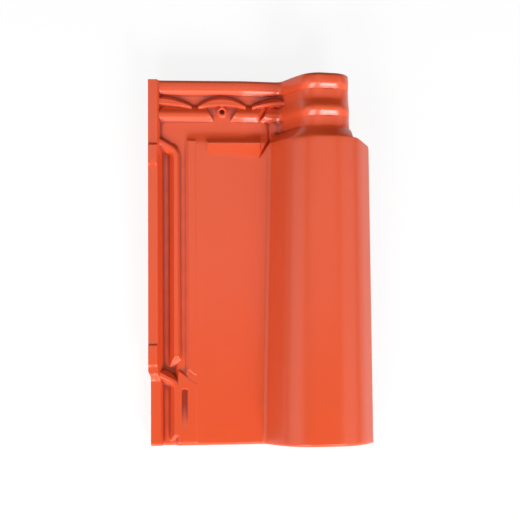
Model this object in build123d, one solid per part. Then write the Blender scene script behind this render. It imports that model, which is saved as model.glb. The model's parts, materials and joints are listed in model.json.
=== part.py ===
from build123d import *
from math import atan2, degrees, hypot, radians, tan
import os

# Clay roof tile with one roll, pressed and fired in one piece. Millimetres.
# While it is shaped, x runs from the side lock on the left to the roll on the right, y from
# the tail up the roof to the head, and z is height above the pan's top face.

# Overall plate
length = 440.0
width = 268.7
wall = 11.0
tail_rounding = 2.5
tail_setback = 2.5

# Side lock: levels and widths from the left edge
rail_height = 6.0
rail_width = 11.5
rail_slope = 6.0
first_floor_depth = 8.0
second_floor_depth = 2.5
rib_centre = 33.3
rib_crest_width = 4.6
rib_rise = 2.0
rib_draft = 32.0
lock_width = 47.5
strip_width = 10.0
strip_rise = 1.0
strip_edge = 0.8
step_run = 2.5

# Places along the side lock, from the tail
rib_tail = 106.0
rib_tip_length = 13.0
strip_tail = 90.0
strip_slant = 8.0
valley_width = 9.5
edge_notch_width = 2.8
edge_notch_length = 82.0
edge_notch_slant = 7.0
rail_end = 86.0
rail_end_slope = 9.0
low_rail_rise = 7.5
corner_rib_head = 89.0
corner_rib_bend = 75.0
corner_rib_tail = 13.0
corner_rib_rise = 1.0
corner_rib_remnant = 2.5
pocket_head = 67.0
pocket_tail = 17.0
pocket_width = 7.0
pocket_depth = 3.0
pocket_side_run = 1.0

# Places along the side lock, from the head
rib_bend_from_head = 86.0
rib_start_from_head = 70.0
strip_from_head = 73.0
bend_radius = 12.0

# Raised pads on the rail
pad_rise = 1.8
pad_length = 27.0
pad_slope = 3.0
tail_pad_start = 94.0
head_pad_from_head = 78.5

# Pan, dished towards the foot of the roll
dish_run = 45.0
dish_depth = 1.5

# Roll: places from the right edge, and the run of its left flank from its foot
roll_width_tail = 130.5
roll_width_head = 121.5
flank_run = 33.0
crest_right = 27.0
crest_height = 47.0
crest_radius = 52.0
foot_radius = 9.0
edge_height = 8.0
edge_radius = 6.0
lip_depth = 1.0
lip_lean = 2.0
lip_width = 7.0

# Roll over the head lock, at the level of its channels: places from the right edge
head_roll_width = 108.5
head_crest_left = 78.0
head_crest_right = 28.3
head_crest_height = 42.0
head_crest_fall = 7.0
head_crest_radius = 26.0
head_side = 24.9
head_side_taper = 2.0
head_side_height = 10.0
head_shoulder_radius = 23.0
head_lip_depth = 0.0

# Head lock, measured from the head edge
head_floor_depth = 2.5
head_dish_depth = 4.5
rib_height = 5.5
rib_rounding = 1.2
head_edge_run = 3.0
head_edge_drop = 2.5
first_rib_width = 10.0
first_rib_slope = 4.5
first_channel_width = 12.5
second_rib_face = 9.5
second_rib_width = 5.5
second_rib_slope = 5.0
second_channel_width = 13.0
shoulder_run = 13.0
shoulder_web = 10.0
corner_cut_width = 19.5
corner_cut_length = 7.0
corner_ledge = 5.5

# Weather bars in the first channel: a crescent over the nail hole and a half one on each side
bar_rise = 4.8
bar_from_head = 31.6
bar_span = 57.0
bar_gap = 8.8
bar_sag = 8.6
bar_inner_sag = 3.2
bar_end_width = 2.2
left_bar_sag = 9.3
right_bar_sag = 6.0
side_bar_inner_sag = 4.6
bar_face_run = 3.8
bar_back_run = 0.8

# Weather bar at the head of the pan
pan_bar_rise = 3.0
pan_bar_length = 65.0
pan_bar_start = 71.0
pan_bar_from_head = 76.5
pan_bar_face_run = 8.5
pan_bar_crest = 1.0
pan_bar_ramp = 13.0
pan_bar_taper = 2.5

# Drain notch through the second rib, and the drain from the roll's foot to the pan
notch_from_foot = 13.1
notch_shift = 12.5
notch_left_run = 13.0
notch_right_run = 4.0
notch_tail_run = 1.5
drain_from_foot = 13.0
drain_floor_width = 1.2
drain_depth = 2.0
drain_left_run = 5.5
drain_right_run = 1.5
drain_bend_run = 4.0
drain_shift = 13.0
drain_bend_from_head = 72.0
drain_run = 22.5
drain_end_depth = 1.6
drain_end_run = 0.8

# Nail hole, its ring and the bay in the second rib that clears the nail's head
nail_hole_radius = 3.0
nail_hole_x = 89.5
nail_hole_from_head = 38.2
ring_radius = 6.3
ring_height = 3.2
bay_head_width = 42.0
bay_tail_width = 20.0

# Underside: two ribs under the tail that sit in the head lock of the tile below
nose_depth = 7.0
nose_length = 9.0
nose_slope = 4.0
nose_gap = 20.0

# Nibs that hang over the batten
nib_width = 32.0
nib_length = 15.0
nib_from_head = 6.0
nib_depth = 14.0
nib_draft = 8.0
nib_rounding = 2.5
left_nib_x = 58.0
right_nib_x = 139.0

# Cutters reach past what they cut by this; the shares are of a run's or the pocket's length
overrun = 6.0
tangent_share = 0.95
pocket_floor_share = 0.6

# Levels that follow from the sizes
first_floor = -first_floor_depth
second_floor = -second_floor_depth
head_floor = -head_floor_depth
rib_top = head_floor + rib_height
low_rail_top = first_floor + low_rail_rise
bar_top = head_floor + bar_rise
root_depth = wall / 4
bar_base = head_floor - head_dish_depth - root_depth
strip_end = lock_width + strip_width

# Places along y that follow from the sizes
first_rib_head = length - head_edge_run
first_rib_tail = first_rib_head - first_rib_width
first_channel_head = first_rib_tail - first_rib_slope
first_channel_tail = first_channel_head - first_channel_width
second_rib_head = first_channel_tail - second_rib_face
second_rib_tail = second_rib_head - second_rib_width
second_channel_head = second_rib_tail - second_rib_slope
second_channel_tail = second_channel_head - second_channel_width
shoulder_y = second_channel_tail - shoulder_run
web_y = shoulder_y - shoulder_web
hole_y = length - nail_hole_from_head


def blend(first, second, share):
    """A number part of the way from first to second."""
    return first + (second - first) * share


def reached(place, start, end):
    """Share of the way from start to end that a place has come, 0 before it and 1 after it."""
    return min(max((place - start) / (end - start), 0), 1)


def main_top(y):
    """Corners (x, z, radius) of the top face at y, from the side lock to the roll's edge."""
    roll_width = blend(roll_width_tail, roll_width_head, reached(y, 0, shoulder_y))
    first = blend(first_floor, second_floor, reached(y, web_y, shoulder_y))
    second = blend(0, second_floor, reached(y, strip_tail - valley_width, strip_tail))
    return [
        (0, first, 0),
        (rib_centre - step_run, first, 0),
        (rib_centre + step_run, second, 0),
        (lock_width - step_run, second, 0),
        (lock_width, 0, 0),
        (width - roll_width - dish_run, 0, 0),
        (width - roll_width, -dish_depth, foot_radius),
        (width - roll_width + flank_run, crest_height, crest_radius),
        (width - crest_right, crest_height, crest_radius),
        (width, edge_height, edge_radius),
    ]


def head_top(y):
    """The same corners over the head lock, at the level of its channels."""
    side = head_side + head_side_taper * reached(y, shoulder_y, length)
    return [
        (0, head_floor, 0),
        (rib_centre - step_run, head_floor, 0),
        (rib_centre + step_run, head_floor, 0),
        (lock_width - step_run, head_floor, 0),
        (lock_width, head_floor, 0),
        (width - head_roll_width - dish_run, head_floor, 0),
        (width - head_roll_width, head_floor - head_dish_depth, foot_radius),
        (width - head_crest_left, head_crest_height, head_crest_radius),
        (width - head_crest_right, head_crest_height - head_crest_fall, head_shoulder_radius),
        (width - side, head_side_height, edge_radius),
    ]


def set_below(corners, depth):
    """Corners of an open outline moved by depth, square to its runs, to its lower side."""
    normals = []
    for (x0, z0, r0), (x1, z1, r1) in zip(corners, corners[1:]):
        run = hypot(x1 - x0, z1 - z0)
        normals.append(((z1 - z0) / run, (x0 - x1) / run))
    before = [normals[0], *normals]
    after = [*normals, normals[-1]]
    moved = []
    for (x, z, radius), (ax, az), (bx, bz) in zip(corners, before, after):
        reach = depth / (1 + ax * bx + az * bz)
        moved.append((x + (ax + bx) * reach, z + (az + bz) * reach, radius))
    return moved


def underside(top, lip_z):
    """Corners of the underside, right to left: the lip, the hollow roll, the pan, the lock."""
    start, pan, dish, foot, left, right, edge = top[0], *top[4:]
    offsets = set_below([pan, dish, foot, left, right, edge], wall)
    under_pan, under_dish, under_foot, under_left, under_right, under_edge = offsets
    lip_x = edge[0] - lip_lean
    inner_x = lip_x - lip_width
    share = reached(inner_x, under_right[0], under_edge[0])
    return [
        (lip_x, lip_z, 0),
        (inner_x, lip_z, 0),
        (inner_x, blend(under_right[1], under_edge[1], share), root_depth),
        (under_right[0], under_right[1], right[2] - wall),
        (under_left[0], under_left[1], left[2] - wall),
        (under_foot[0], under_foot[1], foot[2] + wall),
        under_dish,
        under_pan,
        (rib_centre, start[1] - wall, 0),
        (0, start[1] - wall, 0),
    ]


def fitted(corners):
    """A closed outline's corners, their radii limited to what the runs between them can hold."""
    count = len(corners)
    tangents = []
    for i, (x, z, radius) in enumerate(corners):
        ax, az, a_radius = corners[i - 1]
        bx, bz, b_radius = corners[(i + 1) % count]
        turn = atan2(bz - z, bx - x) - atan2(z - az, x - ax)
        half = abs(atan2(tan(turn / 2), 1))
        tangents.append(radius * tan(half))
    limited = []
    for i, (x, z, radius) in enumerate(corners):
        shares = [1]
        for j in (i - 1, (i + 1) % count):
            run = hypot(corners[j][0] - x, corners[j][1] - z)
            needed = tangents[i] + tangents[j]
            if needed > run * tangent_share:
                shares.append(run * tangent_share / needed)
        limited.append((x, z, radius * min(shares)))
    return limited


def section(y, head_share=0.0, under_share=0.0, lift=0.0, drop=0.0, lean=0.0):
    """Closed section across the tile, part of the way from its main form to the head lock's.

    The lift raises the top face. Over the head lock it runs out at the roll's right edge.
    """
    main = main_top(y)
    head = head_top(y)
    under_main = underside(main, -lip_depth)
    under_head = underside(head, -head_lip_depth)
    corners = []
    for (x, z, radius), (hx, hz, h_radius) in zip(main, head):
        corners.append((
            blend(x, hx, head_share),
            blend(z, hz, head_share) + lift,
            blend(radius, h_radius, head_share),
        ))
    edge_x, edge_z, radius = corners[-1]
    corners[-1] = (edge_x, edge_z - lift * head_share, radius)
    for (x, z, radius), (hx, hz, h_radius) in zip(under_main, under_head):
        corners.append((
            blend(x, hx, under_share),
            blend(z, hz, under_share) - drop,
            blend(radius, h_radius, under_share),
        ))
    level = dish_depth * drop / nose_depth
    corners[-4:-2] = [(x, z - level, radius) for x, z, radius in corners[-4:-2]]
    corners[-2:] = [(x, z + drop, radius) for x, z, radius in corners[-2:]]
    corners = fitted(corners)
    outline = FilletPolyline(
        [(x, z) for x, z, radius in corners],
        radius=[radius for x, z, radius in corners],
        close=True,
    )
    return Pos(0, y, 0) * Rot(-lean, 0, 0) * (Plane.XZ * make_face(outline))


def plate():
    """Pan, roll, shoulder and head lock as one ruled form through its cross sections."""
    lean = degrees(atan2(tail_setback, crest_height))
    nose_end = nose_length + nose_slope
    second_nose = nose_end + nose_gap
    slope_rise = rib_rounding * rib_height
    stations = [
        section(0, lift=-tail_rounding, drop=nose_depth - tail_rounding, lean=lean),
        section(tail_rounding, drop=nose_depth, lean=lean),
        section(nose_length, drop=nose_depth),
        section(nose_end),
        section(second_nose),
        section(second_nose + nose_slope, drop=nose_depth),
        section(second_nose + nose_slope + nose_length, drop=nose_depth),
        section(second_nose + nose_slope + nose_length + nose_slope),
        section(strip_tail - valley_width),
        section(strip_tail),
        section(web_y),
        section(shoulder_y, 0, 1),
        section(second_channel_tail, 1, 1),
    ]
    profile = [
        (second_channel_head, 0),
        (second_rib_tail - rib_rounding, rib_height - slope_rise / second_rib_slope),
        (second_rib_tail + rib_rounding, rib_height),
        (second_rib_head - rib_rounding, rib_height),
        (second_rib_head + rib_rounding, rib_height - slope_rise / second_rib_face),
        (first_channel_tail, 0),
        (first_channel_head, 0),
        (first_rib_tail - rib_rounding, rib_height - slope_rise / first_rib_slope),
        (first_rib_tail + rib_rounding, rib_height),
        (first_rib_head, rib_height),
        (length, rib_height - head_edge_drop),
    ]
    stations += [section(y, 1, 1, lift=lift) for y, lift in profile]
    return loft(stations, ruled=True)


def corner_cut():
    """What is cut away beside the head lock's roll, with the slanted corner of the main roll."""
    side = width - head_side
    ledge = width - corner_cut_width
    far = width + overrun
    slant = corner_cut_length / corner_cut_width
    outline = Polygon(
        (side, second_channel_tail),
        (side, shoulder_y + corner_ledge / 2),
        (ledge - corner_ledge, shoulder_y),
        (ledge, shoulder_y),
        (far, shoulder_y - slant * (far - ledge)),
        (far, second_channel_tail),
        align=None,
    )
    return extrude(Plane.XY.offset(-length) * outline, amount=2 * length)


def rail():
    """Outer rail along the left edge: level, with two raised pads, and low in the tail corner."""
    base_z = first_floor - root_depth
    pad_top = rail_height + pad_rise
    points = [(0, base_z), (0, low_rail_top - tail_rounding), (tail_rounding, low_rail_top)]
    points += [(rail_end - rail_end_slope, low_rail_top), (rail_end, rail_height)]
    for y in (tail_pad_start, length - head_pad_from_head - pad_length):
        points += [
            (y, rail_height),
            (y + pad_slope, pad_top),
            (y + pad_length - pad_slope / 2, pad_top),
            (y + pad_length, rail_height),
        ]
    points += [(length, rail_height), (length, base_z)]
    side = make_face(Plane.YZ * Polyline(*points, close=True))
    bar = extrude(side, amount=rail_width + 2 * rail_slope, dir=(1, 0, 0))
    lean = rail_slope / (rail_height + first_floor_depth)
    inner = Polygon(
        (rail_width - pad_rise * lean, pad_top),
        (rail_width + rail_slope + root_depth * lean, base_z),
        (rail_width + 3 * rail_slope, base_z),
        (rail_width + 3 * rail_slope, pad_top),
        align=None,
    )
    return bar - extrude(Plane.XZ * inner, amount=length, dir=(0, 1, 0))


def band(points, top_z, base_z):
    """A raised band with sloped sides along a line that turns through a round bend."""
    line = FilletPolyline(*points, radius=bend_radius)
    start = Plane(origin=line @ 0, x_dir=Vector(0, 0, 1).cross(line % 0), z_dir=line % 0)
    half = rib_crest_width / 2
    foot = half + (top_z - base_z) * tan(radians(rib_draft))
    profile = Polygon((-half, top_z), (-foot, base_z), (foot, base_z), (half, top_z), align=None)
    return sweep(start * profile, path=line)


def tip_cut(tip_y, top_z, base_z, tip_run):
    """Wedge that slopes a band's tail end down from tip_y over tip_run."""
    side = Polygon(
        (tip_y, top_z),
        (tip_y - tip_run, base_z),
        (tip_y - length, base_z),
        (tip_y - length, top_z),
        align=None,
    )
    return extrude(Plane.YZ * side, amount=width, dir=(1, 0, 0))


def inner_rib():
    """Inner rib: from the rail it slants across the first channel, bends and runs to the tail."""
    base_z = first_floor - root_depth
    points = [
        (rail_width / 2, length - rib_start_from_head),
        (rib_centre, length - rib_bend_from_head),
        (rib_centre, rib_tail - rib_tip_length),
    ]
    run = rib_tip_length * (rib_rise - base_z) / (rib_rise - first_floor)
    return band(points, rib_rise, base_z) - tip_cut(rib_tail, rib_rise, base_z, run)


def corner_rib():
    """Second inner rib, in the tail corner, with a low end that runs out at the tail edge."""
    base_z = first_floor - root_depth
    points = [
        (rail_width / 2, corner_rib_head),
        (rib_centre, corner_rib_bend),
        (rib_centre, tail_rounding),
    ]
    high = band(points, corner_rib_rise, base_z)
    high -= tip_cut(corner_rib_tail, corner_rib_rise, base_z, corner_rib_tail - tail_rounding)
    low = band(points, first_floor + corner_rib_remnant, base_z)
    return [high, low]


def raised_area(outline, rise, edge):
    """A low raised area on the pan's level, with sloped edges."""
    foot = offset(outline, amount=edge, kind=Kind.INTERSECTION)
    return extrude(Plane.XY.offset(-rise) * foot, amount=2 * rise, taper=degrees(atan2(edge, rise)))


def strips():
    """Flat strips between the second channel and the pan, parted by a slanted valley."""
    upper = Polygon(
        (lock_width, strip_tail),
        (strip_end, strip_tail - strip_slant),
        (strip_end, length - strip_from_head),
        (lock_width, length - strip_from_head),
        align=None,
    )
    slant = strip_slant / strip_width
    lower_start = rib_centre + rib_crest_width / 2
    lower = Polygon(
        (lower_start, tail_rounding + strip_edge),
        (strip_end, tail_rounding + strip_edge),
        (strip_end, strip_tail - valley_width - strip_slant),
        (lower_start, strip_tail - valley_width + slant * (lock_width - lower_start)),
        align=None,
    )
    return [raised_area(upper, strip_rise, strip_edge), raised_area(lower, strip_rise, strip_edge)]


def pocket():
    """Pocket beside the corner rib, deep at its head end and rising to the tail."""
    side = Polygon(
        (pocket_head, strip_rise + overrun),
        (pocket_head, -pocket_depth),
        (blend(pocket_tail, pocket_head, pocket_floor_share), -pocket_depth),
        (pocket_tail, strip_rise),
        (pocket_tail, strip_rise + overrun),
        align=None,
    )
    start = Plane.YZ.offset(lock_width - pocket_side_run - pocket_width)
    return extrude(start * side, amount=pocket_width, dir=(1, 0, 0))


def half_bar(wall_x, end_x, sag, inner_sag):
    """One arm of a weather bar, from its highest place at wall_x to its end at end_x."""
    base_y = length - bar_from_head
    way = (end_x - wall_x) / abs(end_x - wall_x)
    depth_share = (bar_top - bar_base) / bar_rise
    faces = []
    for z, share in ((bar_base, depth_share), (bar_top, 0)):
        grow = bar_face_run * share
        back = bar_back_run * share
        reach = end_x + way * back
        outer_wall = (wall_x, base_y + sag + grow)
        outer_end = (reach, base_y + grow / 2)
        inner_end = (reach, base_y - bar_end_width - back)
        inner_wall = (wall_x, base_y - bar_end_width + inner_sag - back)
        outline = TangentArc(outer_wall, outer_end, tangent=(way, 0))
        outline += Line(outer_end, inner_end)
        outline += TangentArc(inner_wall, inner_end, tangent=(way, 0))
        outline += Line(inner_wall, outer_wall)
        faces.append(Plane.XY.offset(z) * make_face(outline))
    return loft(faces, ruled=True)


def weather_bars():
    """The three weather bars of the first channel."""
    left_end = nail_hole_x - bar_span / 2
    right_end = nail_hole_x + bar_span / 2
    roll_x = width - head_roll_width + wall / 2
    return [
        half_bar(rail_width, left_end - bar_gap, left_bar_sag, side_bar_inner_sag),
        half_bar(nail_hole_x, left_end, bar_sag, bar_inner_sag),
        half_bar(nail_hole_x, right_end, bar_sag, bar_inner_sag),
        half_bar(roll_x, right_end + bar_gap, right_bar_sag, side_bar_inner_sag),
    ]


def pan_bar():
    """Weather bar at the head of the pan: a steep face to the head and a ramp to the tail."""
    crest_y = length - pan_bar_from_head
    depth = pan_bar_rise - bar_base
    face_foot = crest_y + pan_bar_face_run * depth / (pan_bar_rise - head_floor)
    back_y = crest_y - pan_bar_crest
    ramp_foot = back_y - pan_bar_ramp * depth / pan_bar_rise
    end_x = pan_bar_start + pan_bar_length
    low = Polygon(
        (pan_bar_start - pan_bar_taper / 2, face_foot),
        (end_x + pan_bar_taper / 2, face_foot),
        (end_x - pan_bar_taper, ramp_foot),
        (pan_bar_start + pan_bar_taper, ramp_foot),
        align=None,
    )
    high = Polygon(
        (pan_bar_start, crest_y),
        (end_x, crest_y),
        (end_x, back_y),
        (pan_bar_start, back_y),
        align=None,
    )
    faces = [Plane.XY.offset(bar_base) * low, Plane.XY.offset(pan_bar_rise) * high]
    return loft(faces, ruled=True)


def head_floor_at(x):
    """Level of the head lock's channels at x, where they dip to the roll's foot."""
    foot_x = width - head_roll_width
    return head_floor - head_dish_depth * reached(x, foot_x - dish_run, foot_x)


def drain_notch():
    """Slanted notch through the second rib, that lets water out of the first channel."""
    head_x = width - head_roll_width - notch_from_foot
    tail_x = head_x - notch_shift
    half = drain_floor_width / 2
    rise = rib_top + overrun
    stations = []
    for y, x, left, right in (
        (first_channel_tail, head_x, notch_left_run, notch_right_run),
        (second_rib_tail - second_rib_slope, tail_x, notch_tail_run, notch_tail_run),
    ):
        outline = Polygon(
            (x - half, head_floor_at(x)),
            (x + half, head_floor_at(x)),
            (x + half + right, rib_top),
            (x + half + right, rise),
            (x - half - left, rise),
            (x - half - left, rib_top),
            align=None,
        )
        stations.append(Plane.XZ.offset(-y) * outline)
    return loft(stations, ruled=True)


def foot_drain():
    """Drain along the roll's foot that turns through the weather bar and runs out in the pan."""
    start_x = width - head_roll_width - drain_from_foot
    bend_y = length - drain_bend_from_head
    half = drain_floor_width / 2
    rise = pan_bar_rise + overrun
    edge_z = head_floor_at(start_x)
    floor_z = edge_z - drain_depth
    end_x = start_x - drain_shift
    stations = []
    for y, x, floor_z, edge_z, left, right in (
        (second_channel_head, start_x, floor_z, edge_z, drain_left_run, drain_right_run),
        (bend_y, start_x, floor_z, pan_bar_rise, drain_left_run, drain_bend_run),
        (bend_y - drain_run, end_x, -drain_end_depth, 0, drain_end_run, drain_end_run),
    ):
        outline = Polygon(
            (x - half, floor_z),
            (x + half, floor_z),
            (x + half + right, edge_z),
            (x + half + right, rise),
            (x - half - left, rise),
            (x - half - left, edge_z),
            align=None,
        )
        stations.append(Plane.XZ.offset(-y) * outline)
    return loft(stations, ruled=True)


def nail_bay():
    """Cut in the second rib that clears the nail's head, narrower towards the tail."""
    outline = Polygon(
        (nail_hole_x - bay_tail_width / 2, second_channel_head),
        (nail_hole_x + bay_tail_width / 2, second_channel_head),
        (nail_hole_x + bay_head_width / 2, first_channel_tail),
        (nail_hole_x - bay_head_width / 2, first_channel_tail),
        align=None,
    )
    return extrude(Plane.XY.offset(head_floor) * outline, amount=rib_height + overrun)


def nail_ring():
    """Raised ring round the nail hole."""
    upright = (Align.CENTER, Align.CENTER, Align.MIN)
    ring = Cylinder(ring_radius, ring_height + root_depth, align=upright)
    return Pos(nail_hole_x, hole_y, head_floor - root_depth) * ring


def nail_hole():
    """Round hole for the nail, through the ring and the plate."""
    upright = (Align.CENTER, Align.CENTER, Align.MIN)
    bore = Cylinder(nail_hole_radius, wall + ring_height + 2 * overrun, align=upright)
    return Pos(nail_hole_x, hole_y, head_floor - wall - overrun) * bore


def nibs():
    """Two nibs under the head, that hang the tile on its batten."""
    foot = RectangleRounded(nib_width, nib_length, nib_rounding)
    nib = extrude(foot, amount=-(nib_depth + root_depth), taper=nib_draft)
    y = length - nib_from_head - nib_length / 2
    z = head_floor - wall + root_depth
    return [Pos(x, y, z) * nib for x in (left_nib_x, right_nib_x)]


def edge_notch():
    """Narrower left edge in the tail corner, where the next tile's head lock comes close."""
    outline = Polygon(
        (-overrun, -overrun),
        (edge_notch_width, -overrun),
        (edge_notch_width, edge_notch_length),
        (0, edge_notch_length + edge_notch_slant),
        (-overrun, edge_notch_length + edge_notch_slant),
        align=None,
    )
    return extrude(Plane.XY.offset(-length) * outline, amount=2 * length)


def roof_tile():
    """The whole tile as one solid."""
    made = plate() - corner_cut()
    made += [rail(), inner_rib(), *corner_rib(), *strips(), pan_bar()]
    made -= [nail_bay(), drain_notch(), foot_drain(), pocket()]
    made += [*weather_bars(), nail_ring(), *nibs()]
    made -= [nail_hole(), edge_notch()]
    return made


def laid_down(shape):
    """Turn the tile to the slope at which it lies on its nibs and its nose, on a level floor."""
    nib_y = length - nib_from_head - nib_length
    nib_z = head_floor_depth + wall + nib_depth
    nose_z = dish_depth + wall + nose_depth
    pitch = degrees(atan2(nib_z - nose_z, nib_y))
    turned = Rot(pitch, 0, 0) * shape
    box = turned.bounding_box()
    centre = box.center()
    return Pos(-centre.X, -centre.Y, -box.min.Z) * turned


tile = laid_down(roof_tile())
os.makedirs("parts", exist_ok=True)
export_step(tile, "parts/clay_tile.step")
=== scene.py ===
import json
from math import asin, radians

import bmesh
import bpy
from mathutils import Matrix, Vector


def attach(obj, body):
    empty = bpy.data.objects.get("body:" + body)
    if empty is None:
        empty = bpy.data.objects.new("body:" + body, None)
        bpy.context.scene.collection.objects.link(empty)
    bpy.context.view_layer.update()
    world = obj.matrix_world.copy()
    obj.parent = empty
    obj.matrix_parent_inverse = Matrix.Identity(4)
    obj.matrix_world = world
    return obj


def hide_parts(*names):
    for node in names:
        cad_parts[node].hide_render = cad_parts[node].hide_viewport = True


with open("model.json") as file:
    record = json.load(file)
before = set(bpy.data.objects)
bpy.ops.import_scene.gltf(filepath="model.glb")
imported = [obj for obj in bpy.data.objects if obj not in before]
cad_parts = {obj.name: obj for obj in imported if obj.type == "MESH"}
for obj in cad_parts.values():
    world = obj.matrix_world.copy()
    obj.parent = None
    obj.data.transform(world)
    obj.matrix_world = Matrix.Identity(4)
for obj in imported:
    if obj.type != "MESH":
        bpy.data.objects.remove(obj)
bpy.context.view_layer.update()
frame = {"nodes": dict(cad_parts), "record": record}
scene = bpy.context.scene
scene.view_settings.view_transform = "Standard"


class Wire:
    # a socket of a node tree that can be used in a Python expression
    def __init__(self, kit, socket):
        self.kit = kit
        self.socket = socket

    def work(self, operation, first, second):
        return self.kit.add("ShaderNodeMath", {"operation": operation}, {0: first, 1: second})

    def __add__(self, other):
        return self.work("ADD", self, other)

    def __radd__(self, other):
        return self.work("ADD", other, self)

    def __sub__(self, other):
        return self.work("SUBTRACT", self, other)

    def __rsub__(self, other):
        return self.work("SUBTRACT", other, self)

    def __mul__(self, other):
        return self.work("MULTIPLY", self, other)

    def __rmul__(self, other):
        return self.work("MULTIPLY", other, self)


class Kit:
    # adds nodes to one tree: settings first, then values or links
    def __init__(self, tree):
        self.tree = tree

    def add(self, kind, settings=None, inputs=None, out=0):
        node = self.tree.nodes.new(kind)
        for name, value in (settings or {}).items():
            setattr(node, name, value)
        for name, value in (inputs or {}).items():
            if isinstance(value, Wire):
                self.tree.links.new(value.socket, node.inputs[name])
            else:
                node.inputs[name].default_value = value
        return Wire(self, node.outputs[out]) if node.outputs else node

    # a Mix node has its sockets by number: colours are 6 and 7, vectors are 4 and 5
    def mixColours(self, share, first, second):
        return self.add("ShaderNodeMix", {"data_type": "RGBA"}, {0: share, 6: first, 7: second}, out=2)

    def mixVectors(self, share, first, second):
        return self.add("ShaderNodeMix", {"data_type": "VECTOR"}, {0: share, 4: first, 5: second}, out=1)


def emptyKit(owner):
    owner.use_nodes = True
    owner.node_tree.nodes.clear()
    return Kit(owner.node_tree)


def placed(name, data):
    thing = bpy.data.objects.new(name, data)
    scene.collection.objects.link(thing)
    return thing


# the tile's own drawing is in metres from its left corner at the tail, and lies level
drawing = {"nailHole": (0.0895, 0.4018, -0.0064)}
hole = next(mount for mount in frame["record"]["mounts"] if mount["name"] == "nail_hole")
turn = Matrix.Rotation(asin(-hole["axis"][1]), 4, "X")
toWorld = Matrix.Translation(Vector(hole["pos_m"]) - turn @ Vector(drawing["nailHole"])) @ turn

cameraSet = {
    "eye": (0.06567, 0.16092, 1.03299), "target": (0.13378, 0.22026, 0.008),  # in the drawing
    "roll": -0.5,  # degrees
    "focalPixels": 857.5, "framePixels": 520,
    "sensor": 36,  # millimetres
    "nearest": 0.01,  # metres
}


def makeCamera():
    data = bpy.data.cameras.new("camera")
    data.sensor_width = cameraSet["sensor"]
    data.lens = cameraSet["focalPixels"] / cameraSet["framePixels"] * cameraSet["sensor"]
    data.clip_start = cameraSet["nearest"]
    camera = placed("camera", data)
    eye = toWorld @ Vector(cameraSet["eye"])
    back = (eye - toWorld @ Vector(cameraSet["target"])).normalized()
    right = (turn @ Vector((0, 1, 0))).cross(back).normalized()
    axes = Matrix((right, back.cross(right), back)).transposed().to_4x4()
    roll = Matrix.Rotation(radians(cameraSet["roll"]), 4, "Z")
    camera.matrix_world = Matrix.Translation(eye) @ axes @ roll
    scene.camera = camera
    print("camera set")


makeCamera()

studio = {
    "lamps": {  # metres and watts
        "keyRight": {"place": (1.25, -2.85, 1.6), "size": (1.3, 1.3), "watts": 94},
        "keyLeft": {"place": (-1.25, -2.85, 1.6), "size": (1.3, 1.3), "watts": 68},
        "sideLeft": {"place": (-1.3, -0.1, 0.85), "size": (1.6, 1.2), "watts": 7.0},
        "sideRight": {"place": (1.3, -0.1, 0.85), "size": (1.6, 1.2), "watts": 6.0},
        "over": {"place": (0.0, 0.35, 1.9), "size": (2.0, 1.1), "watts": 6.2},
    },
    "white": (1, 1, 1, 1), "backdrop": 1.0, "sky": 0.02,
    "floorColour": (0.9, 0.9, 0.9, 1), "floorGlow": 0.8, "glowLevel": 1.05,
    "floorReach": 3.0, "holeReach": 0.02,  # metres
}


def makeStudio():
    for name, lamp in studio["lamps"].items():
        data = bpy.data.lights.new(name, "AREA")
        data.shape = "RECTANGLE"
        data.size, data.size_y = lamp["size"]
        data.energy = lamp["watts"]
        light = placed(name, data)
        light.location = lamp["place"]
        light.rotation_euler = (-Vector(lamp["place"])).to_track_quat("-Z", "Y").to_euler()
    world = bpy.data.worlds.new("studio")
    scene.world = world
    kit = emptyKit(world)
    camera = kit.add("ShaderNodeLightPath", out="Is Camera Ray")
    seen, lit = [kit.add("ShaderNodeBackground", None, {"Color": studio["white"], "Strength": strength})
                 for strength in (studio["backdrop"], studio["sky"])]
    both = kit.add("ShaderNodeMixShader", None, {0: camera, 1: lit, 2: seen})
    kit.add("ShaderNodeOutputWorld", None, {"Surface": both})
    print("studio lit")


def makeFloor():
    reach = studio["floorReach"]
    mesh = bpy.data.meshes.new("floor")
    corners = [(-reach, -reach, 0), (reach, -reach, 0), (reach, reach, 0), (-reach, reach, 0)]
    mesh.from_pydata(corners, [], [(0, 1, 2, 3)])
    floor = placed("floor", mesh)
    material = bpy.data.materials.new("paleFloor")
    kit = emptyKit(material)
    camera, glossy = [kit.add("ShaderNodeLightPath", out=name)
                      for name in ("Is Camera Ray", "Is Glossy Ray")]
    seen = kit.add("ShaderNodeMath", {"operation": "MAXIMUM"}, {0: camera, 1: glossy})
    # the glow is left out below the nail hole, so that the hole is dark
    place = kit.add("ShaderNodeTexCoord", out="Object")
    under = (*hole["pos_m"][:2], 0)
    away = kit.add("ShaderNodeVectorMath", {"operation": "DISTANCE"}, {0: place, 1: under}, out="Value")
    outside = kit.add("ShaderNodeMath", {"operation": "GREATER_THAN"},
                      {0: away, 1: studio["holeReach"]})
    plain = kit.add("ShaderNodeBsdfDiffuse", None, {"Color": studio["floorColour"]})
    glow = kit.add("ShaderNodeEmission", None,
                   {"Color": studio["white"], "Strength": studio["glowLevel"]})
    surface = kit.add("ShaderNodeMixShader", None,
                      {0: seen * outside * studio["floorGlow"], 1: plain, 2: glow})
    kit.add("ShaderNodeOutputMaterial", None, {"Surface": surface})
    mesh.materials.append(material)
    print("floor laid")


makeStudio()
makeFloor()

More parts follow.
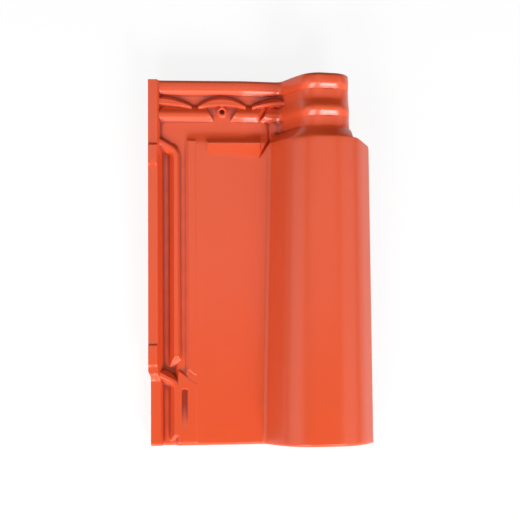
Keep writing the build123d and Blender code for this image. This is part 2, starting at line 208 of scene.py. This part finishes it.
glaze = {
    "colour": (0.84, 0.096, 0.025, 1), "deepColour": (0.78, 0.084, 0.020, 1),
    # the hollow colour and its share darken the hollows: painted shade, partly glaze pooled thicker
    # there
    "hollowShadeColour": (0.30, 0.020, 0.008, 1), "hollowShadeShare": 0.75,
    "cloudScale": 14.0, "cloudDetail": 3.0, "cloudShare": 0.5, "cloudMiddle": 0.5,
    "grainScale": 900.0, "grainDetail": 2.0, "grainDepth": 0.00003,
    "waveScale": 22.0, "waveDetail": 1.0, "waveDepth": 0.0006,
    "reliefScale": 1.0,  # the depths above are in metres
    "roughness": 0.3, "roughnessSpread": 0.02, "ior": 1.6,
}


def makeGlaze():
    material = bpy.data.materials.new("glazedClay")
    kit = emptyKit(material)
    place = kit.add("ShaderNodeTexCoord", out="Object")
    cloud, grain, wave = [
        kit.add("ShaderNodeTexNoise", None,
                {"Vector": place, "Scale": glaze[name + "Scale"], "Detail": glaze[name + "Detail"]})
        for name in ("cloud", "grain", "wave")]
    colour = kit.mixColours(cloud * glaze["cloudShare"], glaze["colour"], glaze["deepColour"])
    # the glaze is darker in the hollows, partly because it pools thicker there and partly as painted
    # shade where the hollows lie in shadow
    hollowShade = kit.add("ShaderNodeAttribute", {"attribute_name": "hollowShade"}, out="Fac")
    pooledAndShaded = kit.mixColours(hollowShade * glaze["hollowShadeShare"], colour, glaze["hollowShadeColour"])
    roughness = glaze["roughness"] + (cloud - glaze["cloudMiddle"]) * glaze["roughnessSpread"]
    relief = grain * glaze["grainDepth"] + wave * glaze["waveDepth"]
    bump = kit.add("ShaderNodeBump", None, {"Distance": glaze["reliefScale"], "Height": relief})
    surface = kit.add("ShaderNodeBsdfPrincipled", None, {
        "Base Color": pooledAndShaded, "Roughness": roughness, "IOR": glaze["ior"], "Normal": bump})
    kit.add("ShaderNodeOutputMaterial", None, {"Surface": surface})
    print("glaze mixed")
    return material


glazedClay = makeGlaze()

pressed = {
    "mergeReach": 1e-6, "voxel": 0.0006,  # metres
    "triangles": 185000,
    "inputs": {
        "Edge Rounds": 3, "Face Rounds": 60, "Lean Rounds": 16, "Share Rounds": 8,
        "Sharp": 0.93, "Even": 0.992,
        "Hollow Rounds": 160, "Hollow Start": 0.0005, "Hollow End": 0.0013,
    },
}


def makeSoftening():
    # rounds the edges a little, as pressing and glazing do, and evens out the gentle faces
    tree = bpy.data.node_groups.new("softening", "GeometryNodeTree")
    tree.interface.new_socket("Geometry", in_out="INPUT", socket_type="NodeSocketGeometry")
    tree.interface.new_socket("Geometry", in_out="OUTPUT", socket_type="NodeSocketGeometry")
    for name, value in pressed["inputs"].items():
        kind = "NodeSocketInt" if isinstance(value, int) else "NodeSocketFloat"
        tree.interface.new_socket(name, in_out="INPUT", socket_type=kind)
    kit = Kit(tree)
    entry = tree.nodes.new("NodeGroupInput")
    given = {name: Wire(kit, entry.outputs[name]) for name in ("Geometry", *pressed["inputs"])}

    def blurred(value, rounds, kind="FLOAT_VECTOR"):
        return kit.add("GeometryNodeBlurAttribute", {"data_type": kind},
                       {"Value": value, "Iterations": given[rounds]})

    def eased(value, low, high):
        return kit.add("ShaderNodeMapRange", {"interpolation_type": "SMOOTHSTEP"},
                       {"Value": value, "From Min": given[low], "From Max": given[high]})

    def compared(first, second):
        return kit.add("ShaderNodeVectorMath", {"operation": "DOT_PRODUCT"},
                       {0: first, 1: second}, out="Value")

    place = kit.add("GeometryNodeInputPosition")
    normal = kit.add("GeometryNodeInputNormal")
    lean = blurred(normal, "Lean Rounds")
    # where the faces round a point lean in different ways, only the fine blur is used
    gentle = eased(compared(normal, lean), "Sharp", "Even")
    share = blurred(gentle, "Share Rounds", "FLOAT")
    level = kit.mixVectors(share, blurred(place, "Edge Rounds"), blurred(place, "Face Rounds"))
    # how far each point lies below its surroundings, which masks the painted shade in the hollows
    around = blurred(place, "Hollow Rounds")
    rise = kit.add("ShaderNodeVectorMath", {"operation": "SUBTRACT"}, {0: around, 1: place})
    hollowShade = eased(compared(rise, lean), "Hollow Start", "Hollow End")
    kept = kit.add("GeometryNodeStoreNamedAttribute", {"data_type": "FLOAT", "domain": "POINT"},
                   {"Geometry": given["Geometry"], "Name": "hollowShade", "Value": hollowShade})
    soft = kit.add("GeometryNodeSetPosition", None, {"Geometry": kept, "Position": level})
    smooth = kit.add("GeometryNodeSetShadeSmooth", None, {"Geometry": soft})
    whole = kit.add("GeometryNodeRealizeInstances", None, {"Geometry": smooth})
    done = kit.add("GeometryNodeSetMaterial", None, {"Geometry": whole, "Material": glazedClay})
    kit.add("NodeGroupOutput", None, {"Geometry": done})
    return tree


def settle(thing):
    # the shape that the modifiers give becomes the thing's own mesh
    view = bpy.context.evaluated_depsgraph_get()
    thing.data = bpy.data.meshes.new_from_object(thing.evaluated_get(view), depsgraph=view)
    thing.modifiers.clear()


def mergedCopy(node):
    mesh = node.data.copy()
    mesh.transform(node.matrix_world)
    mesh.materials.clear()
    mesh.materials.append(glazedClay)
    work = bmesh.new()
    work.from_mesh(mesh)
    bmesh.ops.remove_doubles(work, verts=work.verts, dist=pressed["mergeReach"])
    work.to_mesh(mesh)
    work.free()
    return mesh


def makeFullTile():
    # the clay surface in small even faces, softened
    full = placed("fullTile", mergedCopy(frame["nodes"]["clay_tile"]))
    grid = full.modifiers.new("grid", "REMESH")
    grid.mode = "VOXEL"
    grid.voxel_size = pressed["voxel"]
    grid.use_smooth_shade = True
    tree = makeSoftening()
    soften = full.modifiers.new("soften", "NODES")
    soften.node_group = tree
    for socket in tree.interface.items_tree:
        if socket.in_out == "INPUT" and socket.name in pressed["inputs"]:
            soften[socket.identifier] = pressed["inputs"][socket.name]
    settle(full)
    return full


def countTriangles(mesh):
    return sum(len(face.vertices) - 2 for face in mesh.polygons)


def makeTile():
    # the full tile in fewer faces, which keep its shading
    full = makeFullTile()
    count = countTriangles(full.data)
    tile = placed("pressedTile", full.data)
    thin = tile.modifiers.new("thin", "DECIMATE")
    thin.ratio = min(1.0, pressed["triangles"] / count)
    settle(tile)
    shading = tile.modifiers.new("shading", "DATA_TRANSFER")
    shading.object = full
    shading.use_loop_data = True
    shading.data_types_loops = {"CUSTOM_NORMAL"}
    shading.loop_mapping = "POLYINTERP_NEAREST"
    settle(tile)
    bpy.data.objects.remove(full)
    print("tile pressed:", count, "triangles thinned to", countTriangles(tile.data))
    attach(tile, "root")
    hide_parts("clay_tile")


makeTile()
